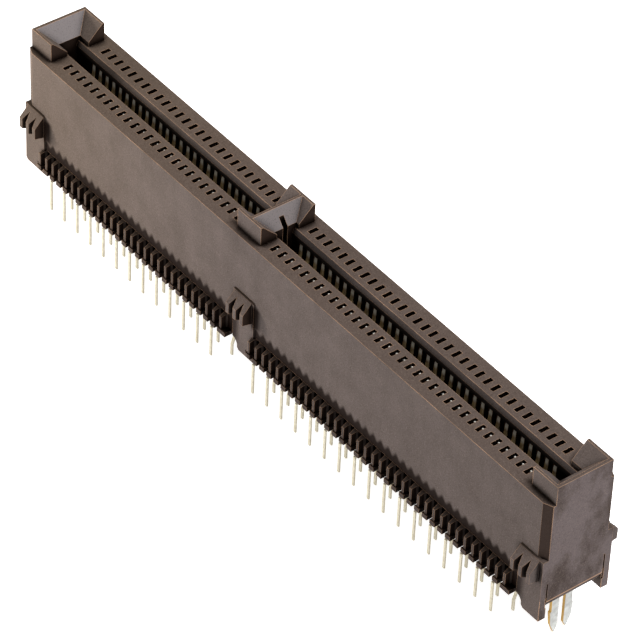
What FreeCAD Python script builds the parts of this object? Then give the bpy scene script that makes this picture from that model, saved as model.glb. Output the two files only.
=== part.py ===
"""Card edge connector: a long moulded housing with two contact bays, soldered to a circuit board.

The housing stands along X, the card goes in from above along Z, and Z = 0 is the plane of the
circuit board that the feet stand on. X = 0 is the middle of the housing's length.
"""
import os
import re

import FreeCAD, Part
import Sketcher

doc = FreeCAD.newDocument("card_edge_connector")

# Driving sizes in millimetres, and counts. Heights are above the circuit board unless their
# name says otherwise. A width is measured right across the middle plane, and a reach outwards
# from it.
SIZES = [
    # Where the contacts stand
    ("contact_pitch", 1.27, "spacing of the contacts along the housing"),
    ("first_bay_contacts", 26, "contacts on one side of the shorter bay"),
    ("key_positions", 4, "contact positions taken up by the key wall"),
    ("second_bay_contacts", 34, "contacts on one side of the longer bay"),
    # Housing
    ("housing_length", 91.0, "over the end faces"),
    ("deck_height", 15.5, "top face that the contact openings are in"),
    ("deck_width", 8.8, "over the long faces"),
    ("underside_height", 1.35, "bottom of the housing between the feet"),
    ("corner_length", 1.1, "bevel of the upright corners, along the long face"),
    ("corner_depth", 0.5, "bevel of the upright corners, along the end face"),
    ("end_bevel_height", 0.9, "bevel under the end face"),
    ("end_bevel_depth", 0.4, "how far that bevel goes in"),
    # Feet and the raised blocks above them
    ("foot_length", 3.6, "raised block along the housing"),
    ("foot_width", 9.2, "over the raised blocks of both sides"),
    ("foot_block_top", 8.1, "top of the raised block"),
    ("foot_inner_width", 7.36, "clear width between the front and the back feet"),
    ("foot_curve_radius", 0.85, "hollow curve from the underside into a foot"),
    ("foot_toe_bevel", 0.3, "bevel of a foot's lower edge"),
    ("key_foot_place", -4.4, "middle of the foot next to the key"),
    ("end_groove_width", 0.16, "groove between the end face and the foot"),
    ("end_groove_depth", 0.12, "depth of that groove"),
    ("end_groove_top", 4.8, "top of that groove"),
    # Ribbed wedges on the raised blocks
    ("wedge_length", 3.0, "along the housing"),
    ("wedge_reach", 1.2, "out from the raised block"),
    ("wedge_slope_height", 1.25, "sloped top"),
    ("wedge_face_height", 1.35, "upright ends of the ribs"),
    ("wedge_under_rise", 0.25, "slope of the wedge's underside"),
    ("end_wedge_place", 43.45, "middle of the wedges at the ends"),
    ("key_wedge_place", -4.45, "middle of the wedge next to the key"),
    ("wedge_groove_pitch", 1.25, "spacing of the two grooves"),
    ("wedge_groove_width", 0.75, "mouth of a groove"),
    ("wedge_groove_depth", 0.85, "depth of a groove"),
    ("shelf_groove_height", 0.14, "fine groove over a wedge"),
    ("shelf_groove_depth", 0.14, "depth of that groove in the long face"),
    # Comb along the bottom of the long faces
    ("comb_reach", 0.8, "teeth out from the long face"),
    ("comb_top", 3.5, "top of the teeth at the long face"),
    ("comb_roof_drop", 0.25, "slope of the teeth's tops"),
    ("tooth_tip_width", 0.34, "tooth at its outer face"),
    ("tooth_root_width", 0.6, "tooth at the long face"),
    ("lip_reach", 0.95, "lip under a tooth, out from the long face"),
    ("lip_width", 0.8, "lip along the housing"),
    ("lip_height", 0.55, "lip's upright face"),
    ("lip_drop", 0.25, "bottom of the lips below the housing's underside"),
    ("end_lip_length", 1.0, "lip past the last tooth of each comb"),
    ("notch_floor_width", 7.0, "across the floors of the notches of both sides"),
    # Guide blocks over the deck
    ("rim_height", 2.4, "guide blocks above the deck"),
    ("block_width", 7.2, "over the arms"),
    ("end_block_length", 3.75, "from the end face to the ends of the arms"),
    ("key_block_length", 4.1, "over the arms on both sides of the key"),
    ("guide_step", 0.6, "upright wall below the guide slopes"),
    ("guide_foot_width", 2.9, "between the slopes at the bottom"),
    ("guide_mouth_width", 6.6, "between the slopes at the rim"),
    ("end_rim_thickness", 0.4, "rim of the end blocks"),
    ("key_ridge_thickness", 0.3, "rim of the key"),
    # Card slot
    ("end_wall_thickness", 2.1, "wall that closes the card slot at each end"),
    ("key_wall_thickness", 3.18, "wall between the two bays"),
    ("slot_width", 1.9, "clear width for the card and the bowed contacts"),
    ("slot_mouth_width", 2.5, "width of the lead-in at the deck"),
    ("slot_lead_depth", 0.55, "depth of the lead-in"),
    ("slot_depth", 9.0, "deck to the floor of the slot"),
    ("key_slit_width", 0.6, "slit in the key wall"),
    ("key_slit_depth", 0.8, "depth of that slit into the wall"),
    # Contact cavities
    ("cavity_width", 0.52, "along the housing"),
    ("opening_inner_reach", 1.93, "inner end of an opening in the deck"),
    ("opening_outer_reach", 3.13, "outer end of an opening in the deck"),
    ("bar_depth", 1.2, "bar between the slot and the openings"),
    ("cavity_floor_height", 4.1, "floor of the cavity"),
    # Contacts
    ("strip_thickness", 0.2, "metal strip"),
    ("beam_width", 0.44, "spring and stem along the housing"),
    ("tail_width", 0.35, "solder tail along the housing"),
    ("hook_reach", 2.12, "hook behind the bar"),
    ("hook_depth", 0.35, "top of the hook below the deck"),
    ("bar_clearance", 0.05, "hook below the bar"),
    ("bend_reach", 1.1, "top of the spring"),
    ("nose_reach", 0.6, "point that touches the card"),
    ("nose_depth", 4.2, "that point below the deck"),
    ("stem_reach", 2.7, "stem that is pressed into the housing"),
    ("stem_shoulder", 0.5, "stem above the cavity floor"),
    ("tail_length", 3.7, "tails below the circuit board's top face"),
    ("outer_tail_reach", 4.95, "outer row of tails"),
    ("outer_jog_top", 1.1, "where an outer tail bends out"),
    ("outer_jog_bottom", 0.3, "where an outer tail turns down"),
    ("outer_jog_shift", 0.06, "shift of the corners that keeps the strip's thickness"),
    ("inner_tail_reach", 3.02, "inner row of tails"),
    ("inner_jog_top", -1.2, "where an inner tail bends out"),
    ("inner_jog_bottom", -2.2, "where an inner tail turns down"),
    ("inner_jog_shift", 0.02, "shift of the corners that keeps the strip's thickness"),
    # Forked board locks
    ("lock_place", 43.77, "middle of a fork's thickness from the middle of the housing"),
    ("lock_thickness", 0.4, "sheet metal"),
    ("lock_width", 2.76, "over both legs"),
    ("lock_slit_width", 0.8, "between the legs"),
    ("lock_slit_top", 0.6, "top of the slit"),
    ("lock_crown_depth", 3.5, "part that is pressed into the housing"),
    ("lock_barb_reach", 0.14, "barb out from a leg"),
    ("lock_barb_drop", 1.7, "barb below the circuit board's top face"),
    ("lock_barb_length", 1.9, "slope below the barb"),
    ("lock_tip_reach", 0.8, "tip of a leg"),
    ("lock_tip_drop", 5.0, "tips below the circuit board's top face"),
    ("lock_tip_inner_rise", 0.8, "inner bevel of a tip"),
]

sheet = doc.addObject("Spreadsheet::Sheet", "Sizes")
for row, (alias, amount, meaning) in enumerate(SIZES, start=1):
    sheet.set("A%d" % row, alias)
    sheet.set("B%d" % row, str(amount))
    sheet.setAlias("B%d" % row, alias)
    sheet.set("C%d" % row, meaning)
doc.recompute()

ALIASES = {alias for alias, amount, meaning in SIZES}

# Places worked out from the driving sizes, as expressions.
FIRST_CONTACT = ("(-(first_bay_contacts + key_positions + second_bay_contacts - 1) / 2"
                 " * contact_pitch)")
FIRST_BAY_LAST = "(%s + (first_bay_contacts - 1) * contact_pitch)" % FIRST_CONTACT
SECOND_BAY_FIRST = "(%s + (first_bay_contacts + key_positions) * contact_pitch)" % FIRST_CONTACT
SECOND_BAY_LAST = "(%s + (second_bay_contacts - 1) * contact_pitch)" % SECOND_BAY_FIRST
KEY_MIDDLE = "((%s + %s) / 2)" % (FIRST_BAY_LAST, SECOND_BAY_FIRST)
SLOT_END = "(housing_length / 2 - end_wall_thickness)"
KEY_LEFT = "(%s - key_wall_thickness / 2)" % KEY_MIDDLE
KEY_RIGHT = "(%s + key_wall_thickness / 2)" % KEY_MIDDLE
GUIDE_FOOT_HEIGHT = "(deck_height + guide_step)"
RIM = "(deck_height + rim_height)"
BAR_UNDERSIDE = "(deck_height - bar_depth)"
SLOT_FLOOR = "(deck_height - slot_depth)"
FACE = "(deck_width / 2)"


def bind(text):
    """Point every alias in an expression at the sheet."""
    return re.sub(r"[a-z]\w+", lambda word: "Sizes." + word.group()
                  if word.group() in ALIASES else word.group(), text)


def new_body(label):
    body = doc.addObject("PartDesign::Body", label)
    body.Label = label
    body.AllowCompound = True
    return body


def origin_item(body, role):
    return next(item for item in body.Origin.OriginFeatures if item.Role == role)


def new_sketch(body, label, role, lift="0"):
    """A sketch on one of the body's origin planes, moved along its normal by lift."""
    sketch = body.newObject("Sketcher::SketchObject", label)
    sketch.AttachmentSupport = [(origin_item(body, role), "")]
    sketch.MapMode = "FlatFace"
    sketch.setExpression("AttachmentOffset.Base.z", bind(lift))
    return sketch


def bind_point(sketch, element, end, place):
    """Hold one end of an element at a place given as two expressions."""
    for kind, text in zip(("DistanceX", "DistanceY"), place):
        number = sketch.addConstraint(Sketcher.Constraint(kind, -1, 1, element, end, 1.0))
        sketch.setExpression("Constraints[%d]" % number, bind(text))


def outline(sketch, places):
    """A closed outline through places, each one two expressions."""
    first = sketch.GeometryCount
    count = len(places)
    for step in range(count):
        here = FreeCAD.Vector(10 + step, step * step, 0)
        there = FreeCAD.Vector(10 + (step + 1) % count, ((step + 1) % count) ** 2, 0)
        sketch.addGeometry(Part.LineSegment(here, there))
    for step in range(count):
        sketch.addConstraint(Sketcher.Constraint(
            "Coincident", first + step, 2, first + (step + 1) % count, 1))
    for step, place in enumerate(places):
        bind_point(sketch, first + step, 1, place)


def rectangle(sketch, low, high):
    """A rectangle between two corners, each one two expressions."""
    outline(sketch, [(low[0], low[1]), (high[0], low[1]), (high[0], high[1]), (low[0], high[1])])


def both_sides(sketch, places):
    """The same outline on the back and, turned over, on the front of the middle plane."""
    outline(sketch, places)
    outline(sketch, [("-(%s)" % reach, height) for reach, height in places])


def pad(body, label, sketch, length, symmetric=False, reverse=False):
    feature = body.newObject("PartDesign::Pad", label)
    feature.Profile = sketch
    feature.setExpression("Length", bind(length))
    feature.SideType = "Symmetric" if symmetric else "One side"
    feature.Reversed = reverse
    sketch.Visibility = False
    body.Tip = feature
    return feature


def pocket(body, label, sketch, length, symmetric=False, reverse=False):
    """Cut a sketch out of the body, along the sketch's normal when reverse is set."""
    feature = body.newObject("PartDesign::Pocket", label)
    feature.Profile = sketch
    feature.setExpression("Length", bind(length))
    feature.SideType = "Symmetric" if symmetric else "One side"
    feature.Reversed = reverse
    sketch.Visibility = False
    body.Tip = feature
    return feature


def row_of(body, label, features, spacing, count):
    """Repeat features along the housing."""
    pattern = body.newObject("PartDesign::LinearPattern", label)
    pattern.Originals = features
    pattern.Direction = (origin_item(body, "X_Axis"), [""])
    pattern.Mode = "Spacing"
    pattern.setExpression("Offset", bind(spacing))
    pattern.setExpression("Occurrences", bind(count))
    body.Tip = pattern
    return pattern


# Housing: the plain body with bevelled upright corners.
shell = new_body("plain_housing")
half_length = "housing_length / 2"
body_outline = new_sketch(shell, "body_outline", "XY_Plane", "underside_height")
outline(body_outline, [
    ("-%s" % half_length, "-(%s - corner_depth)" % FACE),
    ("-(%s - corner_length)" % half_length, "-%s" % FACE),
    ("%s - corner_length" % half_length, "-%s" % FACE),
    (half_length, "-(%s - corner_depth)" % FACE),
    (half_length, "%s - corner_depth" % FACE),
    ("%s - corner_length" % half_length, FACE),
    ("-(%s - corner_length)" % half_length, FACE),
    ("-%s" % half_length, "%s - corner_depth" % FACE),
])
pad(shell, "plain_body", body_outline, "deck_height - underside_height")

# Raised blocks of the three pairs of feet, and the feet under them.
FOOT_SPANS = {
    "left": ("-%s" % half_length, "-%s + foot_length" % half_length),
    "key": ("key_foot_place - foot_length / 2", "key_foot_place + foot_length / 2"),
    "right": ("%s - foot_length" % half_length, half_length),
}
for name, (start, stop) in FOOT_SPANS.items():
    block = new_sketch(shell, name + "_block_outline", "XY_Plane", "underside_height")
    rectangle(block, (start, "-foot_width / 2"), (stop, "foot_width / 2"))
    pad(shell, name + "_block", block, "foot_block_top - underside_height")

    side = new_sketch(shell, name + "_foot_outline", "XZ_Plane")
    if name == "left":
        outline(side, [
            (start, "underside_height"),
            (start, "foot_toe_bevel"),
            ("%s + foot_toe_bevel" % start, "0"),
            (stop, "0"),
            (stop, "underside_height"),
        ])
    else:
        outline(side, [
            (start, "underside_height"),
            ("%s + foot_curve_radius" % start, "underside_height - foot_curve_radius"),
            ("%s + foot_curve_radius" % start, "foot_toe_bevel"),
            ("%s + foot_curve_radius + foot_toe_bevel" % start, "0"),
            (stop, "0"),
            (stop, "underside_height"),
        ])
    pad(shell, name + "_foot", side, "foot_width", symmetric=True)

for name in ("key", "right"):
    start = FOOT_SPANS[name][0]
    curve = new_sketch(shell, name + "_foot_curve", "XZ_Plane")
    curve.addGeometry(Part.Circle(FreeCAD.Vector(0, 0, 0), FreeCAD.Vector(0, 0, 1), 1))
    bind_point(curve, 0, 3, (start, "underside_height - foot_curve_radius"))
    radius = curve.addConstraint(Sketcher.Constraint("Radius", 0, 1.0))
    curve.setExpression("Constraints[%d]" % radius, bind("foot_curve_radius"))
    pocket(shell, name + "_foot_hollow", curve, "foot_width", symmetric=True)

between_feet = new_sketch(shell, "between_feet", "YZ_Plane")
rectangle(between_feet, ("-foot_inner_width / 2", "-0.5"), ("foot_inner_width / 2",
                                                          "underside_height"))
pocket(shell, "foot_gap", between_feet, "housing_length + 2", symmetric=True)

# Ribbed wedges that stand out from the raised blocks.
block_face = "foot_width / 2"
wedge_face = "(foot_width / 2 + wedge_reach)"
wedge_drop = "(foot_block_top - wedge_slope_height - wedge_face_height)"
WEDGE_PLACES = {
    "left": "-end_wedge_place",
    "key": "key_wedge_place",
    "right": "end_wedge_place",
}
for name, place in WEDGE_PLACES.items():
    side = new_sketch(shell, name + "_wedge_outline", "YZ_Plane", place)
    both_sides(side, [
        (FACE, "foot_block_top"),
        (block_face, "foot_block_top"),
        (wedge_face, "foot_block_top - wedge_slope_height"),
        (wedge_face, wedge_drop),
        (block_face, "%s - wedge_under_rise" % wedge_drop),
        (FACE, "%s - wedge_under_rise" % wedge_drop),
    ])
    pad(shell, name + "_wedge", side, "wedge_length", symmetric=True)

    grooves = new_sketch(shell, name + "_wedge_grooves", "XY_Plane", "foot_block_top")
    for offset in ("- wedge_groove_pitch / 2", "+ wedge_groove_pitch / 2"):
        middle = "%s %s" % (place, offset)
        for sign in ("", "-"):
            outline(grooves, [
                ("%s - wedge_groove_width / 2" % middle, "%s%s" % (sign, wedge_face)),
                (middle, "%s(%s - wedge_groove_depth)" % (sign, wedge_face)),
                ("%s + wedge_groove_width / 2" % middle, "%s%s" % (sign, wedge_face)),
            ])
    pocket(shell, name + "_wedge_ribs", grooves,
           "wedge_slope_height + wedge_face_height + wedge_under_rise")

    shelf = new_sketch(shell, name + "_shelf_groove", "YZ_Plane", place)
    both_sides(shelf, [
        ("%s - shelf_groove_depth" % FACE, "foot_block_top"),
        (block_face, "foot_block_top"),
        (block_face, "foot_block_top + shelf_groove_height"),
        ("%s - shelf_groove_depth" % FACE, "foot_block_top + shelf_groove_height"),
    ])
    pocket(shell, name + "_shelf_line", shelf, "wedge_length", symmetric=True)

# Comb along the bottom of each long face: tapered teeth with a wider lip under each, midway
# between the contacts. The first tooth stands against a foot block, and the last lip runs on
# past its tooth. Behind the gaps the wall is notched.
COMBS = {
    "first": (FIRST_CONTACT + " - 1.5 * contact_pitch", "first_bay_contacts + 2",
              FIRST_BAY_LAST, "first_bay_contacts + 1", FIRST_CONTACT + " - contact_pitch"),
    "second": (SECOND_BAY_FIRST + " - 0.5 * contact_pitch", "second_bay_contacts + 1",
               SECOND_BAY_LAST, "second_bay_contacts", SECOND_BAY_FIRST),
}
comb_root = "(%s - 0.1)" % FACE
comb_face = "(%s + comb_reach)" % FACE
lip_face = "(%s + lip_reach)" % FACE
comb_bodies = []
notch_bodies = []
for name, (first_tooth, teeth, last_contact, notches, first_notch) in COMBS.items():
    comb = new_body(name + "_comb")
    tooth_plan = new_sketch(comb, name + "_tooth_outline", "XY_Plane", "underside_height")
    lip_bottom = "underside_height - lip_drop"
    lip_plan = new_sketch(comb, name + "_lip_outline", "XY_Plane", lip_bottom)
    end_plan = new_sketch(comb, name + "_end_lip_outline", "XY_Plane", lip_bottom)
    roof = new_sketch(comb, name + "_roof_outline", "YZ_Plane", first_tooth)
    for sign in ("", "-"):
        outline(tooth_plan, [
            ("%s - tooth_root_width / 2" % first_tooth, sign + comb_root),
            ("%s - tooth_tip_width / 2" % first_tooth, sign + comb_face),
            ("%s + tooth_tip_width / 2" % first_tooth, sign + comb_face),
            ("%s + tooth_root_width / 2" % first_tooth, sign + comb_root),
        ])
        rectangle(lip_plan, ("%s - lip_width / 2" % first_tooth, sign + comb_root),
                  ("%s + lip_width / 2" % first_tooth, sign + lip_face))
        rectangle(end_plan, (last_contact + " + contact_pitch / 2", sign + comb_root),
                  (last_contact + " + contact_pitch / 2 + end_lip_length", sign + lip_face))
    both_sides(roof, [
        (FACE, "comb_top"),
        (comb_face, "comb_top - comb_roof_drop"),
        ("%s + 0.1" % comb_face, "comb_top - comb_roof_drop"),
        ("%s + 0.1" % comb_face, "comb_top + 0.1"),
        (FACE, "comb_top + 0.1"),
    ])
    tooth = pad(comb, name + "_tooth", tooth_plan, "comb_top - underside_height")
    slope = pocket(comb, name + "_tooth_roof", roof, "tooth_root_width + 0.2", symmetric=True)
    lip = pad(comb, name + "_lip", lip_plan, "lip_height")
    row_of(comb, name + "_teeth", [tooth, slope, lip], "contact_pitch", teeth)
    pad(comb, name + "_end_lip", end_plan, "lip_height")
    comb_bodies.append(comb)

    notched = new_body(name + "_notches")
    notch_plan = new_sketch(notched, name + "_notch_outline", "XY_Plane", "comb_top")
    for sign in ("", "-"):
        rectangle(notch_plan, ("%s - (contact_pitch - tooth_root_width) / 2" % first_notch,
                               sign + "(notch_floor_width / 2)"),
                  ("%s + (contact_pitch - tooth_root_width) / 2" % first_notch, sign + FACE))
    notch = pad(notched, name + "_notch", notch_plan,
                "comb_top - underside_height + lip_drop + 0.1", reverse=True)
    row_of(notched, name + "_notch_row", [notch], "contact_pitch", notches)
    notch_bodies.append(notched)

# Guide blocks: one at each end and one over the key, with a hopper that leads the card in.
blocks = new_sketch(shell, "guide_block_outline", "XY_Plane", "deck_height")
BLOCK_SPANS = [
    ("-%s" % half_length, "-%s + end_block_length" % half_length),
    ("%s - key_block_length / 2" % KEY_MIDDLE, "%s + key_block_length / 2" % KEY_MIDDLE),
    ("%s - end_block_length" % half_length, half_length),
]
for start, stop in BLOCK_SPANS:
    rectangle(blocks, (start, "-block_width / 2"), (stop, "block_width / 2"))
pad(shell, "guide_blocks", blocks, "rim_height")

BAYS = {
    "first": ("-%s" % SLOT_END, KEY_LEFT, "-%s + end_rim_thickness" % half_length,
              "%s - key_ridge_thickness / 2" % KEY_MIDDLE, FIRST_CONTACT, "first_bay_contacts"),
    "second": (KEY_RIGHT, SLOT_END, "%s + key_ridge_thickness / 2" % KEY_MIDDLE,
               "%s - end_rim_thickness" % half_length, SECOND_BAY_FIRST, "second_bay_contacts"),
}
cavity_bodies = []
for name, (start, stop, mouth_start, mouth_stop, first_contact, contacts) in BAYS.items():
    mouth = new_sketch(shell, name + "_guide_mouth", "XY_Plane", RIM)
    rectangle(mouth, (mouth_start, "-guide_mouth_width / 2"),
              (mouth_stop, "guide_mouth_width / 2"))
    foot = new_sketch(shell, name + "_guide_foot", "XY_Plane", GUIDE_FOOT_HEIGHT)
    rectangle(foot, (start, "-guide_foot_width / 2"), (stop, "guide_foot_width / 2"))
    hopper = shell.newObject("PartDesign::SubtractiveLoft", name + "_guide")
    hopper.Profile = mouth
    hopper.Sections = [foot]
    hopper.Ruled = True
    shell.Tip = hopper

    slot = new_sketch(shell, name + "_slot_outline", "YZ_Plane", "(%s + %s) / 2" % (start, stop))
    outline(slot, [
        ("-guide_foot_width / 2", GUIDE_FOOT_HEIGHT),
        ("-guide_foot_width / 2", "deck_height"),
        ("-slot_mouth_width / 2", "deck_height"),
        ("-slot_width / 2", "deck_height - slot_lead_depth"),
        ("-slot_width / 2", SLOT_FLOOR),
        ("slot_width / 2", SLOT_FLOOR),
        ("slot_width / 2", "deck_height - slot_lead_depth"),
        ("slot_mouth_width / 2", "deck_height"),
        ("guide_foot_width / 2", "deck_height"),
        ("guide_foot_width / 2", GUIDE_FOOT_HEIGHT),
    ])
    pocket(shell, name + "_slot", slot, "%s - (%s)" % (stop, start), symmetric=True)

    # A cavity for each contact: open to the deck outside the bar, to the slot below it, and
    # to the underside where the stem goes through.
    cavities = new_body(name + "_cavities")
    cavity = new_sketch(cavities, name + "_cavity_outline", "YZ_Plane", first_contact)
    both_sides(cavity, [
        ("slot_width / 2 - 0.1", BAR_UNDERSIDE),
        ("opening_inner_reach", BAR_UNDERSIDE),
        ("opening_inner_reach", "deck_height + 0.1"),
        ("opening_outer_reach", "deck_height + 0.1"),
        ("opening_outer_reach", "cavity_floor_height"),
        ("stem_reach - strip_thickness", "cavity_floor_height"),
        ("slot_width / 2 - 0.1", SLOT_FLOOR),
    ])
    hollow = pad(cavities, name + "_cavity", cavity, "cavity_width", symmetric=True)
    stem = new_sketch(cavities, name + "_stem_outline", "YZ_Plane", first_contact)
    both_sides(stem, [
        ("stem_reach - strip_thickness / 2", "underside_height - 0.1"),
        ("stem_reach + strip_thickness / 2", "underside_height - 0.1"),
        ("stem_reach + strip_thickness / 2", "cavity_floor_height + 0.1"),
        ("stem_reach - strip_thickness / 2", "cavity_floor_height + 0.1"),
    ])
    hole = pad(cavities, name + "_stem_hole", stem, "beam_width", symmetric=True)
    row_of(cavities, name + "_cavity_row", [hollow, hole], "contact_pitch", contacts)
    cavity_bodies.append(cavities)

slit = new_sketch(shell, "key_slit_outline", "XY_Plane", RIM)
rectangle(slit, ("%s - key_slit_depth" % KEY_RIGHT, "-key_slit_width / 2"),
          ("%s + 0.1" % KEY_RIGHT, "key_slit_width / 2"))
pocket(shell, "key_slit", slit, "rim_height + slot_depth")

# End faces: a bevel along the bottom, a fine groove beside each foot, and the slot that holds
# the crown of a board lock.
bevel = new_sketch(shell, "end_bevel_outline", "XZ_Plane")
grooves = new_sketch(shell, "end_groove_outline", "XY_Plane", "underside_height")
crowns = new_sketch(shell, "lock_crown_outline", "XY_Plane", "underside_height")
for sign in ("", "-"):
    outline(bevel, [
        ("%s(%s)" % (sign, half_length), "underside_height + end_bevel_height"),
        ("%s(%s)" % (sign, half_length), "underside_height"),
        ("%s(%s - end_bevel_depth)" % (sign, half_length), "underside_height"),
    ])
    for side in ("", "-"):
        rectangle(grooves, ("%s(%s - end_groove_depth)" % (sign, half_length),
                            "%s(foot_inner_width / 2)" % side),
                  ("%s(%s)" % (sign, half_length),
                   "%s(foot_inner_width / 2 + end_groove_width)" % side))
    rectangle(crowns, ("%slock_place - lock_thickness / 2" % sign, "-lock_width / 2"),
              ("%slock_place + lock_thickness / 2" % sign, "lock_width / 2"))
pocket(shell, "end_bevels", bevel, "foot_inner_width", symmetric=True)
pocket(shell, "end_grooves", grooves, "end_groove_top - underside_height", reverse=True)
pocket(shell, "lock_slots", crowns, "lock_crown_depth", reverse=True)


# The moulded housing: the plain one with the combs added, and the notches and cavities cut.
combed = doc.addObject("Part::MultiFuse", "combed_housing")
combed.Shapes = [shell] + comb_bodies
hollows = doc.addObject("Part::Compound", "hollows")
hollows.Links = notch_bodies + cavity_bodies
housing = doc.addObject("Part::Cut", "housing")
housing.Base = combed
housing.Tool = hollows
housing.Label = "housing"


def contact_row(label, sign, first_place, count, kind):
    """A row of contacts, two pitches apart, whose tails stand in one row.

    Each contact hooks behind the bar, bows into the card slot, runs back to its stem and ends
    in a solder tail. sign is "" on the back of the housing and "-" on the front.
    """
    tail_reach = kind + "_tail_reach"
    jog_top = kind + "_jog_top"
    jog_bottom = kind + "_jog_bottom"
    shift = kind + "_jog_shift"
    half = " strip_thickness / 2"
    level = "(%s - bar_clearance - strip_thickness / 2)" % BAR_UNDERSIDE
    nose_height = "deck_height - nose_depth"
    shoulder = "cavity_floor_height + stem_shoulder"

    body = new_body(label)
    spring = new_sketch(body, label + "_spring_outline", "YZ_Plane", first_place)
    spring_places = [
        ("hook_reach -" + half, "deck_height - hook_depth"),
        ("hook_reach +" + half, "deck_height - hook_depth"),
        ("hook_reach +" + half, level + " -" + half),
        ("bend_reach +" + half, level + " -" + half),
        ("nose_reach +" + half, nose_height),
        ("stem_reach +" + half, shoulder),
        ("stem_reach +" + half, "underside_height"),
        ("stem_reach -" + half, "underside_height"),
        ("stem_reach -" + half, shoulder),
        ("nose_reach -" + half, nose_height),
        ("bend_reach -" + half, level + " +" + half),
        ("hook_reach -" + half, level + " +" + half),
    ]
    outline(spring, [("%s(%s)" % (sign, reach), height) for reach, height in spring_places])
    spring_pad = pad(body, label + "_spring", spring, "beam_width", symmetric=True)

    tail = new_sketch(body, label + "_tail_outline", "YZ_Plane", first_place)
    tail_places = [
        ("stem_reach +" + half, "underside_height + 0.3"),
        ("stem_reach +" + half, "%s + %s" % (jog_top, shift)),
        (tail_reach + " +" + half, "%s + %s" % (jog_bottom, shift)),
        (tail_reach + " +" + half, "-tail_length"),
        (tail_reach + " -" + half, "-tail_length"),
        (tail_reach + " -" + half, "%s - %s" % (jog_bottom, shift)),
        ("stem_reach -" + half, "%s - %s" % (jog_top, shift)),
        ("stem_reach -" + half, "underside_height + 0.3"),
    ]
    outline(tail, [("%s(%s)" % (sign, reach), height) for reach, height in tail_places])
    tail_pad = pad(body, label + "_tail", tail, "tail_width", symmetric=True)
    row_of(body, label + "_row", [spring_pad, tail_pad], "2 * contact_pitch", count)
    return body


# The contacts, in short rows: on each side of each bay the tails stand by turns in an outer
# and an inner row, starting with an outer one.
contact_bodies = []
for side, sign in (("front", "-"), ("back", "")):
    for bay, first_contact, contacts, parts in (
            ("short_bay", FIRST_CONTACT, "first_bay_contacts", 2),
            ("long_bay", SECOND_BAY_FIRST, "second_bay_contacts", 3)):
        for kind, start in (("outer", 0), ("inner", 1)):
            for part in range(parts):
                # A row is one of two or three runs of neighbours along its bay.
                before = "floor(%d * %s / %d)" % (part, contacts + " / 2", parts)
                after = "floor(%d * %s / %d)" % (part + 1, contacts + " / 2", parts)
                place = "%s + (%d + 2 * %s) * contact_pitch" % (first_contact, start, before)
                label = "%s_%s_%s_contacts_%d" % (side, bay, kind, part + 1)
                count = "%s - %s" % (after, before)
                contact_bodies.append(contact_row(label, sign, place, count, kind))

# Board locks: a flat fork under each end, its crown pressed into the housing.
lock_bodies = []
for name, sign in (("left", "-"), ("right", "")):
    lock = new_body(name + "_board_lock")
    fork = new_sketch(lock, name + "_fork_outline", "YZ_Plane", sign + "lock_place")
    leg = [
        ("lock_width / 2", "underside_height + lock_crown_depth"),
        ("lock_width / 2", "-lock_barb_drop"),
        ("lock_width / 2 + lock_barb_reach", "-lock_barb_drop - lock_barb_reach"),
        ("lock_width / 2", "-lock_barb_drop - lock_barb_length"),
        ("lock_tip_reach", "-lock_tip_drop"),
        ("lock_slit_width / 2", "-lock_tip_drop + lock_tip_inner_rise"),
        ("lock_slit_width / 2", "lock_slit_top"),
    ]
    outline(fork, leg + [("-(%s)" % reach, height) for reach, height in reversed(leg)])
    pad(lock, name + "_fork", fork, "lock_thickness", symmetric=True)
    lock_bodies.append(lock)

doc.recompute()

# Everything is looked over before a file is written.
bodies = [housing] + contact_bodies + lock_bodies
for item in doc.Objects:
    if "Invalid" in item.State or "Error" in item.State:
        raise RuntimeError("%s did not build: %s" % (item.Label, item.State))
for body in bodies:
    if body.Shape.isNull() or not body.Shape.isValid():
        raise RuntimeError("%s has no valid shape" % body.Label)

os.makedirs("parts", exist_ok=True)
for body in bodies:
    body.Shape.exportStep("parts/%s.step" % body.Label)
    box = body.Shape.BoundBox
    print("%-34s %3d solids  %9.3f mm3  x %.2f..%.2f  y %.2f..%.2f  z %.2f..%.2f" % (
        body.Label, len(body.Shape.Solids), body.Shape.Volume,
        box.XMin, box.XMax, box.YMin, box.YMax, box.ZMin, box.ZMax))
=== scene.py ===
# %% [markdown]
# # A card edge connector, dressed on its imported solids
# The real object is a long moulded housing. A printed card goes in from above between guide
# blocks, thin sprung contacts press on it from both sides, and their tails are soldered to a
# circuit board. Nothing on it moves as a joint.
#
# All the shapes come from the construction model, because each is a hard part with a real
# size. Blender adds what a mould and a press leave behind: softened edges, a fine grain, worn
# rims and the dull shine of tinned metal. The finishes also paint in shade, shadows and
# highlights.

# %% Load the frame
import math

import bpy
from mathutils import Matrix, Vector


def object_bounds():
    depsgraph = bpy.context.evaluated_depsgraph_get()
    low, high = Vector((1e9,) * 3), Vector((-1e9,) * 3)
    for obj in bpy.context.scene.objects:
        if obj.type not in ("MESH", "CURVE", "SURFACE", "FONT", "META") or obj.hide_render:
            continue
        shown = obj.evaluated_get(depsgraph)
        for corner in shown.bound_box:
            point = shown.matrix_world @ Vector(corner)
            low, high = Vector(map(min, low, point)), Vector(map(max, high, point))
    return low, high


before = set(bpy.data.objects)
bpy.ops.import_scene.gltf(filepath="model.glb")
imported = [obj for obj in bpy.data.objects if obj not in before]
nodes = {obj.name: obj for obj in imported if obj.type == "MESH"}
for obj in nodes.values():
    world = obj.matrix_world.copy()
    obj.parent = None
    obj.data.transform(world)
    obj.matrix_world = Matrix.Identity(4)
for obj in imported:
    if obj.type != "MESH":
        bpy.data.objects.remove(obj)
solid_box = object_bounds()
MM = 0.001
print("nodes:", len(nodes))
print("box in mm:", [[round(value / MM, 2) for value in corner] for corner in solid_box])

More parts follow.
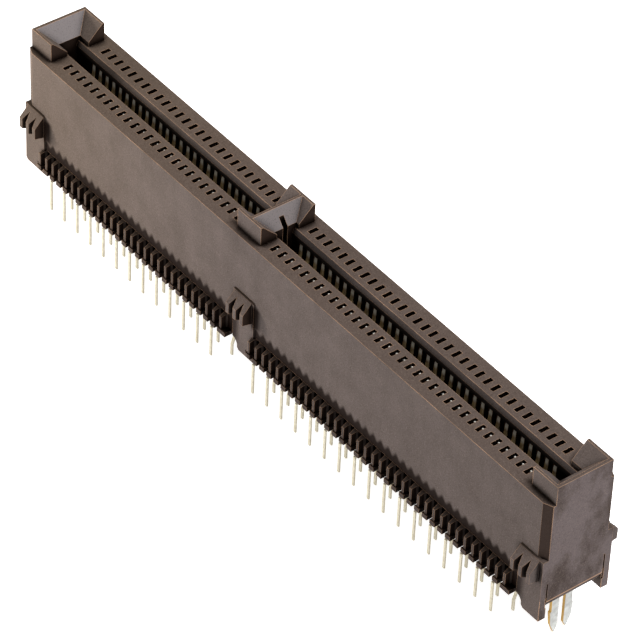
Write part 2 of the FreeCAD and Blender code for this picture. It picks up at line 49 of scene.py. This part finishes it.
# %% [markdown]
# ## The camera
# The picture is taken from the front right, 41 degrees above the table, with a long lens, so
# the housing runs across it from the upper left to the lower right. A long lens keeps parallel
# edges nearly parallel. A camera held by hand is never quite level, so this one is rolled by
# the small angle that the upright edges show.

# %% Camera
CAMERA_PLACE = Vector((257.13, -206.68, 291.38)) * MM
CAMERA_AZIMUTH = 50.88
CAMERA_ELEVATION = 40.89
CAMERA_ROLL = 2.6
LENS = 229.99
SENSOR = 36.0
NEAREST, FARTHEST = 0.05, 20.0


def looking(azimuth, elevation):
    """The direction of a line of sight that comes down at an object from this side."""
    turn = math.radians(azimuth)
    tilt = math.radians(elevation)
    level = math.cos(tilt)
    return Vector((-math.sin(turn) * level, math.cos(turn) * level, -math.sin(tilt)))


camera_data = bpy.data.cameras.new("camera")
camera_data.lens = LENS
camera_data.sensor_width = SENSOR
camera_data.clip_start = NEAREST
camera_data.clip_end = FARTHEST
camera = bpy.data.objects.new("camera", camera_data)
aim = looking(CAMERA_AZIMUTH, CAMERA_ELEVATION).to_track_quat("-Z", "Y").to_matrix().to_4x4()
roll = Matrix.Rotation(math.radians(CAMERA_ROLL), 4, "Z")
camera.matrix_world = Matrix.Translation(CAMERA_PLACE) @ aim @ roll
bpy.context.scene.collection.objects.link(camera)
bpy.context.scene.camera = camera
print("camera is", round(CAMERA_PLACE.length, 3), "m from the middle of the board seat")

# %% [markdown]
# ## Table and light
# The connector stands on the tips of its two forks on a plain pale table. The light is soft
# and comes from nearly everywhere, as in a light tent: a bright surround, a small panel low on
# the left, which throws the shadows of the comb along the long face, a cooler, stronger one
# high on the right and a broad one overhead. Large panels near a small object give shadows
# with wide, soft edges. The table glows a little, as a light table does, and so stays white.

# %% Table
TABLE_SIZE = 4.0
lowest = solid_box[0].z
table_mesh = bpy.data.meshes.new("table")
half_table = TABLE_SIZE / 2
corners = [(x * half_table, y * half_table, lowest)
           for x, y in ((-1, -1), (1, -1), (1, 1), (-1, 1))]
table_mesh.from_pydata(corners, [], [(0, 1, 2, 3)])
table = bpy.data.objects.new("table", table_mesh)
bpy.context.scene.collection.objects.link(table)
print("table lies", round(lowest / MM, 2), "mm from the board seat")

# %% Lights
TARGET = Vector((0.0, 0.0, 8.0)) * MM
PANELS = {
    # name: (place in metres, width in metres, power in watts, colour)
    "left_panel": ((-0.18, -0.10, 0.03), 0.04, 0.50, (1.0, 0.97, 0.93)),
    "right_panel": ((0.22, 0.06, 0.44), 0.16, 2.7, (0.90, 0.94, 1.0)),
    "top_panel": ((-0.10, 0.10, 0.60), 0.40, 0.4, (1.0, 0.99, 0.97)),
}
for name, (place, width, power, colour) in PANELS.items():
    panel_data = bpy.data.lights.new(name, "AREA")
    panel_data.shape = "SQUARE"
    panel_data.size = width
    panel_data.energy = power
    panel_data.color = colour
    panel = bpy.data.objects.new(name, panel_data)
    panel.location = place
    panel.rotation_mode = "QUATERNION"
    panel.rotation_quaternion = (TARGET - Vector(place)).to_track_quat("-Z", "Y")
    bpy.context.scene.collection.objects.link(panel)

SURROUND = 0.34
world = bpy.data.worlds.new("surround")
world.use_nodes = True
world.node_tree.nodes["Background"].inputs["Color"].default_value = (1.0, 1.0, 1.0, 1.0)
world.node_tree.nodes["Background"].inputs["Strength"].default_value = SURROUND
bpy.context.scene.world = world

# The plain transform keeps a white table white and the dark plastic dark.
bpy.context.scene.view_settings.view_transform = "Standard"
print("panels:", len(PANELS), "surround:", SURROUND)

# %% [markdown]
# ## Writing finishes as sums
# A finish is a graph of small nodes. Wired by hand it soon gets hard to follow, so here each
# socket is wrapped in a value that ordinary arithmetic works on, and an expression such as
# 1 - mask adds its own nodes. Colours are only blended, never added up, because a plain
# arithmetic node would turn them grey.

# %% Shader values
class Value:
    """One output of a node, which ordinary arithmetic can be written on."""

    def __init__(self, finish, socket):
        self.finish = finish
        self.socket = socket

    def work(self, operation, first, second=None, **more):
        given = {0: first}
        if second is not None:
            given[1] = second
        settings = {"operation": operation}
        settings.update(more)
        return self.finish.node("ShaderNodeMath", settings, given)

    def __add__(self, other):
        return self.work("ADD", self, other)

    def __radd__(self, other):
        return self.work("ADD", other, self)

    def __sub__(self, other):
        return self.work("SUBTRACT", self, other)

    def __rsub__(self, other):
        return self.work("SUBTRACT", other, self)

    def __mul__(self, other):
        return self.work("MULTIPLY", self, other)

    def __rmul__(self, other):
        return self.work("MULTIPLY", other, self)

    def __gt__(self, other):
        return self.work("GREATER_THAN", self, other)

    def __lt__(self, other):
        return self.work("LESS_THAN", self, other)

    def size(self):
        return self.work("ABSOLUTE", self)

    def cosine(self):
        return self.work("COSINE", self)

    def or_more(self, other):
        return self.work("MAXIMUM", self, other)

    def between(self, low, high):
        """0 up to low, 1 from high on, and a straight slope between them."""
        return self.work("MULTIPLY", (self - low), 1.0 / (high - low), use_clamp=True)

    def rise_and_fall(self, rise, fall):
        """Climbs from 0 to 1 over one stretch, and comes back to 0 over the other."""
        return self.between(*rise) * self.between(*fall)

    def within(self, low, high):
        """1 between these two values, 0 outside them."""
        return (self > low) * (self < high)


print("a shader value can be added, multiplied and compared")

# %% Finishes
# A Mix node has sockets for every kind of data. These are the ones for colours.
MIX_FACTOR, MIX_LOW, MIX_HIGH, MIX_RESULT = 0, 6, 7, 2
EDGE_RAYS = 6
SHELTER_RAYS = 8


class Finish:
    """A material under construction: its nodes, and the coordinates that its patterns follow."""

    def __init__(self, name):
        self.material = bpy.data.materials.new(name)
        self.material.use_nodes = True
        self.tree = self.material.node_tree
        self.shader = self.tree.nodes["Principled BSDF"]

    def node(self, kind, settings=None, given=None, output=0):
        """A node of this kind with its settings made first, then its sockets filled or linked."""
        new = self.tree.nodes.new(kind)
        for key, setting in (settings or {}).items():
            setattr(new, key, setting)
        for key, value in (given or {}).items():
            self.feed(new.inputs[key], value)
        return Value(self, new.outputs[output])

    def feed(self, socket, value):
        """Links a value to a socket, or sets a plain number or colour on it."""
        if isinstance(value, Value):
            self.tree.links.new(value.socket, socket)
        else:
            socket.default_value = value

    def blend(self, mask, low, high):
        """One colour where mask is 0 and the other where it is 1."""
        given = {MIX_FACTOR: mask, MIX_LOW: low, MIX_HIGH: high}
        return self.node("ShaderNodeMix", {"data_type": "RGBA"}, given, MIX_RESULT)

    def cover(self, colour, layers):
        """Lays colours over one another. Each has its mask, its strength and its colour."""
        for mask, strength, paint in layers:
            colour = self.blend(mask * strength, colour, paint)
        return colour

    def place(self):
        """Where a point is on the object, in millimetres."""
        here = self.node("ShaderNodeTexCoord", output="Object")
        return self.node("ShaderNodeVectorMath", {"operation": "SCALE"},
                         {0: here, "Scale": 1.0 / MM})

    def parts(self, vector):
        """The three numbers of a vector."""
        split = self.node("ShaderNodeSeparateXYZ", {}, {0: vector})
        return [Value(self, split.socket.node.outputs[axis]) for axis in "XYZ"]

    def stretch(self, vector, by):
        """Scales a pattern's place by its own factor on each axis."""
        return self.node("ShaderNodeVectorMath", {"operation": "MULTIPLY"}, {0: vector, 1: by})

    def noise(self, vector, scale, detail=3.0, roughness=0.55):
        """Cloudy values from 0 to 1. scale is in patches per millimetre."""
        given = {"Vector": vector, "Scale": scale, "Detail": detail, "Roughness": roughness}
        return self.node("ShaderNodeTexNoise", {}, given)

    def facing(self):
        """The way the surface faces, without any bump."""
        return self.node("ShaderNodeNewGeometry", output="Normal")

    def round_normal(self, radius):
        """The surface's direction with its edges rounded to this radius in millimetres."""
        return self.node("ShaderNodeBevel", {"samples": EDGE_RAYS}, {"Radius": radius * MM})

    def edge(self, rounded, start=0.004, full=0.09):
        """1 along outward and inward edges, 0 on open faces."""
        same = self.node("ShaderNodeVectorMath", {"operation": "DOT_PRODUCT"},
                         {0: rounded, 1: self.facing()}, "Value")
        return (1.0 - same).between(start, full)

    def shelter(self, reach):
        """1 in the open, down to 0 in a deep recess."""
        return self.node("ShaderNodeAmbientOcclusion", {"samples": SHELTER_RAYS},
                         {"Distance": reach * MM}, "AO")

    def bump(self, height, depth, normal):
        """A fine relief on a surface, its depth in millimetres."""
        given = {"Height": height, "Strength": 1.0, "Distance": depth * MM, "Normal": normal}
        return self.node("ShaderNodeBump", {}, given)

    def wear(self, given):
        """Sets the shader's own sockets."""
        for key, value in given.items():
            self.feed(self.shader.inputs[key], value)
        return self.material


print("a finish is built from nodes, then worn by its shader")


# %% Colours in linear light
def tint(red, green, blue):
    """A colour given as 0 to 255 a channel, as the linear values that light works in."""
    channels = []
    for channel in (red, green, blue):
        value = channel / 255
        channels.append(value / 12.92 if value <= 0.04045 else ((value + 0.055) / 1.055) ** 2.4)
    return (*channels, 1.0)


print("a mid grey of 128 is", round(tint(128, 128, 128)[0], 3), "in linear light")

# %% [markdown]
# ## Plain finish of the table
# A pale matte sheet still has a faint cloudiness. Without it a table looks like a hole in the
# picture.

# %% Table finish
TABLE_PALE = tint(250, 250, 250)
TABLE_CLOUD = tint(244, 244, 243)
TABLE_PATCHES_PER_MM = 0.01
TABLE_GLOW = 0.75

sheet = Finish("pale_table")
cloud = sheet.noise(sheet.place(), TABLE_PATCHES_PER_MM, 2.0)
sheet.wear({"Base Color": sheet.blend(cloud, TABLE_CLOUD, TABLE_PALE),
            "Roughness": 0.9, "Specular IOR Level": 0.1,
            "Emission Color": tint(255, 255, 255), "Emission Strength": TABLE_GLOW})
table_mesh.materials.append(sheet.material)
print("table finish has", len(sheet.tree.nodes), "nodes")

# %% [markdown]
# ## Moulded housing
# The housing is a dark, grey-brown plastic filled with glass fibre. Such a plastic never comes
# out of its mould even: it has a fine grain, faint clouds where it flowed, and streaks near the
# ends. Handling has rubbed its outward edges to a thin light line, which is also a painted
# highlight, and painted shade fills the recesses. The colours are blended in that order, from
# the broad clouds to the edge lines.
#
# The patterns come first. They follow a point's place on the object in millimetres, so a size
# can be used in them as it is. The light lines come from a rounded normal: where it turns away
# from the face's own normal there is an edge. How sheltered a point is tells an outward edge
# from an inward corner.

# %% Patterns of the housing
GRAIN_PER_MM = 7.0
FLECKS_PER_MM = 3.1
EDGE_ROUNDING = 0.09
DEEP_REACH = 2.2
CORNER_REACH = 1.1

plastic = Finish("moulded_plastic")
here = plastic.place()
along, across, height = plastic.parts(here)
turned_x, turned_y, turned_z = plastic.parts(plastic.facing())
clouds = plastic.noise(here, 0.32, 4.0)
streaks = plastic.noise(plastic.stretch(here, (0.9, 0.9, 0.16)), 0.9, 3.0)
smear = plastic.noise(plastic.stretch(here, (1.0, 0.35, 0.22)), 0.8, 4.0)
grain = plastic.noise(here, GRAIN_PER_MM, 3.0, 0.6)
fleck = plastic.noise(here, FLECKS_PER_MM, 2.0, 0.5)
rounded = plastic.round_normal(EDGE_ROUNDING)
edges = plastic.edge(rounded, 0.002, 0.05)
open_air = plastic.shelter(DEEP_REACH)
near_shelter = plastic.shelter(CORNER_REACH)
print("patterns of the housing use", len(plastic.tree.nodes), "nodes")

# %% [markdown]
# ## Colours of the open faces
# The faces that look up are browner than the sides. The plastic is painted a little lighter and
# warmer towards the left end and darker towards the right, as a painted falloff of the light.
# The slopes of the guide blocks carry a painted sheen and look paler, above all where they lean
# towards the right end, whose own face is greyer with dark smears. The faces under the ends are
# painted in shade. Each of these is a layer: a mask says where it lies, and a strength how much
# it covers. Specks of filler and dark pores come last, because they show on every face. An image
# could carry all this, but it would have to be drawn for every face. A mask that is made from
# place and direction fits each face by itself.
#
# The way a face is turned runs from -1 to 1 on each axis: 1 on turned_z is a level top.

# %% Colours of the open faces
PLASTIC_DARK = tint(77, 68, 64)
PLASTIC_LIGHT = tint(97, 87, 83)
PLASTIC_TOP = tint(86, 71, 61)
PAINTED_LIGHT_WARM = tint(99, 84, 68)
# Painted light: the left end is painted lighter and warmer, as light that falls off from the
# left.
PLASTIC_END = tint(97, 86, 85)
# Painted shade on faces turned to the right and under the ends, and also the colour of the smears
# on the end faces.
SIDE_SHADE_AND_SMEAR = tint(42, 29, 22)
# A painted sheen on the slopes of the guide blocks.
PAINTED_SLOPE_SHEEN = tint(129, 121, 119)
# Painted shade in the recesses and in the card slot, and also the colour of the dark pores.
SHADE_AND_PORES = tint(9, 4, 2)
SPECK = tint(140, 124, 112)
HALF_LENGTH = 45.5
DECK = 15.5
# Where the painted light on the left end and the painted shade on the right end fade in, in mm
# along the housing.
PAINTED_LIGHT_STRETCH = (-5.0, -40.0)
PAINTED_SHADE_STRETCH = (-25.0, 35.0)
SLOPE_TILTS = ((0.20, 0.35), (0.90, 0.80))
SLOPE_LEAST, SLOPE_MORE = 0.08, 0.77

# Where the painted sheen lies: slopes that lean up, most where they lean to the right.
slope = turned_z.rise_and_fall(*SLOPE_TILTS) * (height > DECK + 0.1) * (turned_x > -0.2)
slope = slope * (SLOPE_LEAST + SLOPE_MORE * turned_x.between(0.0, 0.3))
end_face = turned_x.between(0.7, 0.95) * (along > HALF_LENGTH - 0.5)
end_colour = plastic.blend(smear.between(0.44, 0.64), PLASTIC_END, SIDE_SHADE_AND_SMEAR)
cloudy = (clouds * 0.7 + streaks * 0.3).between(0.25, 0.78)
body_colour = plastic.cover(plastic.blend(cloudy, PLASTIC_DARK, PLASTIC_LIGHT), [
    # (where it lies, how strongly, colour), the lowest layer first
    (turned_z.between(0.5, 0.9), 0.75, PLASTIC_TOP),
    # painted light towards the left end
    (along.between(*PAINTED_LIGHT_STRETCH), 0.32, PAINTED_LIGHT_WARM),
    # painted sheen on the slopes
    (slope, 1.0, PAINTED_SLOPE_SHEEN),
    # painted shade towards the right end
    (along.between(*PAINTED_SHADE_STRETCH), 0.30, PLASTIC_DARK),
    (end_face, 0.55, end_colour),
    # painted shade on the downward faces of the ends
    (end_face * (turned_z < -0.2), 0.45, SIDE_SHADE_AND_SMEAR),
    (grain.between(0.56, 0.80), 0.42, SPECK),
    (grain.between(0.46, 0.26), 0.42, SHADE_AND_PORES),
    (fleck.between(0.66, 0.74), 0.08, SPECK),
])
print("clouds, ends and grain bring it to", len(plastic.tree.nodes), "nodes")

# %% [markdown]
# ## Shade in the recesses
# Shade is painted into the recesses: deep ones are painted nearly black, and inward corners
# get a painted dark band. Measuring shelter over a long and a short reach finds both. It also
# darkens shallow steps too much: the ledges of the wedges, the step round a raised foot block
# and the strip beside it. There, and on the deck, it is held back.
#
# Faces turned to the right inside the part are painted a dark brown shade, and so are the
# bevelled upright corners.

# %% Shade in the recesses
LONG_FACE = 4.4
FOOT_FACE = 4.6
FEET = ((-46.0, -41.88), (-6.22, -2.58), (41.88, 46.0))
BESIDE_FOOT = ((-0.02, 0.02), (0.8, 0.3))
LEDGES = (5.0, 9.0)
END_WALL = 0.8
CORNER_TURN = ((0.25, 0.38), (0.62, 0.48))
HELD_BACK, HELD_BACK_ON_DECK = 0.75, 0.35

# Painted shade: deep recesses and inward corners are painted towards near black.
deep = (1.0 - open_air).between(0.18, 0.75)
corner = (1.0 - near_shelter).between(0.06, 0.52)
faces_up = turned_z > 0.9
on_long_face = (turned_y.size() > 0.9) * across.size().within(LONG_FACE - 0.1, LONG_FACE + 0.1)
foot_step = across.size().rise_and_fall((LONG_FACE - 0.10, LONG_FACE - 0.02),
                                        (FOOT_FACE + 0.10, FOOT_FACE + 0.02))
shallow = faces_up * height.within(*LEDGES)
shallow = shallow.or_more(turned_x.size().between(0.75, 0.95) * foot_step)
for _, foot_stop in FEET:
    beside = (along - foot_stop).rise_and_fall(*BESIDE_FOOT)
    shallow = shallow.or_more(on_long_face * beside)
on_deck = faces_up * height.within(DECK - 0.2, DECK + 0.2)
corner = corner * (1.0 - HELD_BACK * shallow) * (1.0 - HELD_BACK_ON_DECK * on_deck)
deep = deep * (1.0 - HELD_BACK * shallow)
shade = (deep + 0.85 * corner).between(0.0, 1.0)

inside = along.size() < HALF_LENGTH - END_WALL
# Painted shade on faces turned to the right inside the part, and on the bevelled upright corners.
turned_away = turned_x.between(0.75, 0.95) * inside * (1.0 - 0.7 * foot_step)
corner_band = turned_x.rise_and_fall(*CORNER_TURN) * (turned_z.size() < 0.2)
body_colour = plastic.cover(body_colour, [
    (turned_away * 0.9 + corner_band * 0.8, 1.0, SIDE_SHADE_AND_SMEAR),
    (shade, 1.0, SHADE_AND_PORES),
])
print("shade brings it to", len(plastic.tree.nodes), "nodes")

# %% [markdown]
# ## Painted shadows
# Shadows are painted in a scalloped band on the long faces, one scallop over each tooth of the
# comb, and painted shade lies on the comb itself. Shadows are also painted beside the ribbed
# wedges, and on the left part of two of the raised foot blocks. Two small pits in the feet are
# painted as spots of the same dark shade. A cosine with the pitch of the teeth draws the
# scallops, which is simpler than a mask for each tooth.

# %% Painted shadows
# Painted shadow of the comb, the wedges and the feet, and painted shade in two pits.
PAINTED_SHADOW = tint(20, 11, 7)
PITCH = 1.27
TOOTH_SHIFT = -0.25
COMB_TOP = 3.5
HALO_RISE, HALO_WAVE, HALO_FADE = 1.50, 0.26, 0.6
WEDGE_ENDS = (-41.95, -2.95)
BESIDE_WEDGE = ((-0.05, 0.05), (1.45, 0.75))
WEDGE_HEIGHTS = ((4.3, 5.0), (8.0, 7.4))
ON_FOOT = ((-0.02, 0.02), (1.3, 0.5))
FOOT_HEIGHTS = ((0.9, 1.7), (4.9, 4.0))
PITS = ((-43.1, 0.97), (-3.75, 0.82))
PIT_OUTER, PIT_INNER = 0.26, 0.16

# The painted shadow over the comb is scalloped, one scallop over each tooth.
scallop = ((along + TOOTH_SHIFT) * (2.0 * math.pi / PITCH)).cosine()
halo_top = COMB_TOP + HALO_RISE + HALO_WAVE * scallop
painted_shadow = on_long_face * (halo_top - height).between(0.0, HALO_FADE)
comb = (across.size() > LONG_FACE + 0.02) * (height < COMB_TOP + 0.05)
for foot_start, foot_stop in FEET:
    comb = comb * (1.0 - along.within(foot_start, foot_stop))
painted_shadow = painted_shadow.or_more(comb * 0.5)
for wedge_end in WEDGE_ENDS:
    beside = (along - wedge_end).rise_and_fall(*BESIDE_WEDGE)
    level = height.rise_and_fall(*WEDGE_HEIGHTS)
    painted_shadow = painted_shadow.or_more(beside * level * (across.size() < FOOT_FACE + 0.1))
on_foot_face = across.size() > LONG_FACE + 0.1
for foot_start, _ in FEET[1:]:
    beside = (along - foot_start).rise_and_fall(*ON_FOOT)
    level = height.rise_and_fall(*FOOT_HEIGHTS)
    painted_shadow = painted_shadow.or_more(beside * level * on_foot_face * 0.85)
layers = [(painted_shadow, 0.92, PAINTED_SHADOW)]
# The pits are painted as dark spots of shade.
for pit_along, pit_height in PITS:
    reach = (along - pit_along).size() + (height - pit_height).size()
    layers.append((reach.between(PIT_OUTER, PIT_INNER) * on_foot_face, 0.85, PAINTED_SHADOW))
body_colour = plastic.cover(body_colour, layers)
print("grime brings it to", len(plastic.tree.nodes), "nodes")

# %% [markdown]
# ## Card slot, and rubbed and highlighted edges
# The walls of the card slot are painted darker quickly below the deck, as painted shade, since
# little light gets in. The rubbed lines are partly wear and partly a painted highlight. They are
# strongest on the upper edges and at the foot of the ends, where hands and the circuit board
# touch the part, and break up with the clouds. One more line, a painted highlight, runs along
# the upper edge of the bevel under each end face, which the light catches.

# %% Card slot, rubbed and highlighted edges and the finished housing
# Partly wear and partly a painted highlight on the edges.
RUBBED_AND_HIGHLIT = tint(190, 150, 118)
SLOT_REACH = 1.46
SLOT_RIM = 0.62
SLOT_FADE = (DECK - 0.2, DECK - 1.3)
SLOT_LEAST = 0.30
UPPER_EDGES = (8.2, 9.0)
END_FOOT_TOP = 2.8
FOOT_GAP = 3.68
END_BEVEL_TOP = 2.25
END_LINE = (0.14, 0.05)
GRAIN_DEPTH = 0.012

# Painted shade on the walls of the card slot below the deck.
in_slot = (across.size() < SLOT_REACH) * (turned_z < 0.6) * (height < DECK + SLOT_RIM) * inside
slot_dark = SLOT_LEAST + (1.0 - SLOT_LEAST) * height.between(*SLOT_FADE)
outward = edges * near_shelter.between(0.55, 0.92) * (0.30 + 0.9 * clouds.between(0.3, 0.7))
end_foot = (along.size() > HALF_LENGTH - 0.5) * (height < END_FOOT_TOP)
outward = outward * (0.5 + 0.5 * height.between(*UPPER_EDGES) + 1.4 * end_foot)
# A painted highlight along the upper edge of the bevel under each end face.
on_end = (along.size() > HALF_LENGTH - 0.06) * (across.size() < FOOT_GAP)
end_line = on_end * (height - END_BEVEL_TOP).size().between(*END_LINE)
body_colour = plastic.cover(body_colour, [
    (in_slot * slot_dark, 1.0, SHADE_AND_PORES),
    (outward, 0.85, RUBBED_AND_HIGHLIT),
    (end_line, 0.5, RUBBED_AND_HIGHLIT),
])
dull = 0.62 + 0.14 * grain - 0.10 * outward
surface = plastic.bump(grain * 0.7 + fleck * 0.3, GRAIN_DEPTH, rounded)
plastic.wear({"Base Color": body_colour, "Roughness": dull, "Normal": surface,
              "Specular IOR Level": 0.02})
print("housing finish has", len(plastic.tree.nodes), "nodes")

# %% [markdown]
# ## Tinned contacts
# Each contact is stamped from copper alloy strip. Its bend at the top is painted bright as a
# highlight, and so are its edges. The spring in the card slot keeps a warm, brownish gold, and
# what comes out below the housing is dipped in tin, which dries to a dull, pale beige. One
# finish serves all of them, and changes with the height above the circuit board, as the plating
# does. Separate materials would have to be given face by face.

# %% Contact finish
# A painted highlight on the bend at the top of each contact and along its edges.
CONTACT_HIGHLIGHT = tint(222, 216, 203)
TIN_TAIL = tint(198, 191, 170)
TIN_SHADE = tint(172, 162, 138)
SPRING_GOLD = tint(170, 146, 104)
SPRING_DARK = tint(120, 96, 64)
UNDERSIDE = 1.35
BEND_HEIGHT = 13.8
CONTACT_ROUNDING = 0.05
BRUSHED_DEPTH = 0.0015

contact = Finish("tinned_contact")
here = contact.place()
height = contact.parts(here)[2]
mottle = contact.noise(here, 2.2, 3.0)
brushed = contact.noise(contact.stretch(here, (6.0, 6.0, 1.0)), 2.5, 3.0)
rounded = contact.round_normal(CONTACT_ROUNDING)
edges = contact.edge(rounded)
spring = contact.blend(mottle.between(0.35, 0.65), SPRING_DARK, SPRING_GOLD)
tail = contact.blend(mottle.between(0.30, 0.75), TIN_TAIL, TIN_SHADE)
metal = contact.blend(height.between(UNDERSIDE, UNDERSIDE + 0.4), tail, spring)
# painted highlight on the bend, then on the edges
metal = contact.blend(height.between(BEND_HEIGHT - 0.35, BEND_HEIGHT + 0.05), metal, CONTACT_HIGHLIGHT)
metal = contact.blend(edges * 0.35, metal, CONTACT_HIGHLIGHT)
dull = 0.30 + 0.22 * mottle + 0.10 * brushed
surface = contact.bump(brushed, BRUSHED_DEPTH, rounded)
contact.wear({"Base Color": metal, "Roughness": dull, "Metallic": 0.45 - 0.15 * mottle,
              "Normal": surface})
print("contact finish has", len(contact.tree.nodes), "nodes")

# %% [markdown]
# ## Forked board locks
# The forks are stamped from tinned brass sheet. The rolled faces are whitish tin, and the cut
# edges show the yellow metal inside, so the finish asks which way the surface faces. The cut
# faces could be marked by hand, but the marks would be lost when the solids are packed again.

# %% Lock finish
LOCK_FACE = tint(178, 177, 172)
LOCK_FACE_DULL = tint(148, 146, 141)
LOCK_EDGE = tint(170, 132, 58)
LOCK_ROUNDING = 0.06
ROLLED_DEPTH = 0.002

lock = Finish("tinned_brass")
here = lock.place()
turned_x = lock.parts(lock.facing())[0]
mottle = lock.noise(here, 1.6, 4.0)
rolled = lock.noise(lock.stretch(here, (1.0, 1.0, 0.2)), 6.0, 2.0)
face = lock.blend(mottle.between(0.35, 0.7), LOCK_FACE, LOCK_FACE_DULL)
cut_edge = 1.0 - turned_x.size().between(0.5, 0.8)
metal = lock.blend(cut_edge, face, LOCK_EDGE)
rounded = lock.round_normal(LOCK_ROUNDING)
dull = 0.34 + 0.25 * mottle
surface = lock.bump(rolled, ROLLED_DEPTH, rounded)
lock.wear({"Base Color": metal, "Roughness": dull, "Metallic": 0.45 - 0.15 * mottle,
           "Normal": surface})
print("lock finish has", len(lock.tree.nodes), "nodes")

# %% [markdown]
# ## Softened edges
# No stamped edge is truly sharp. A small bevel on the contacts and the locks gives the light
# something to catch on. It only takes material away, so the outside sizes stay, but for a few
# hundredths of a millimetre at the lower ends of the forks. The housing has no bevel, because
# one left fan-shaped marks on its long thin triangles: its edges are rounded in its finish.

# %% Bevels and finishes on the solids
BEVELS = {
    # finish: (bevel width in mm, rows of faces, least angle in degrees)
    "tinned_contact": (0.045, 2, 25),
    "tinned_brass": (0.05, 2, 25),
}
JOIN_WITHIN = 0.0005


def finish_of(name):
    """The material of the solid with this name."""
    if name == "housing":
        return plastic.material
    if name.endswith("board_lock"):
        return lock.material
    return contact.material


def soften(piece, width, rows, angle):
    """Joins a solid's split edges, then bevels them."""
    join = piece.modifiers.new("join", "WELD")
    join.merge_threshold = JOIN_WITHIN * MM
    bevel = piece.modifiers.new("softened", "BEVEL")
    bevel.width = width * MM
    bevel.segments = rows
    bevel.limit_method = "ANGLE"
    bevel.angle_limit = math.radians(angle)
    bevel.use_clamp_overlap = False
    bevel.harden_normals = False


for name, piece in nodes.items():
    material = finish_of(name)
    for slot in piece.material_slots:
        slot.material = material
    if material.name in BEVELS:
        soften(piece, *BEVELS[material.name])

graph = bpy.context.evaluated_depsgraph_get()
for name in ("housing", "left_board_lock", "front_long_bay_outer_contacts_1"):
    mesh = nodes[name].evaluated_get(graph).data
    print(name, "has", len(mesh.polygons), "faces after softening")
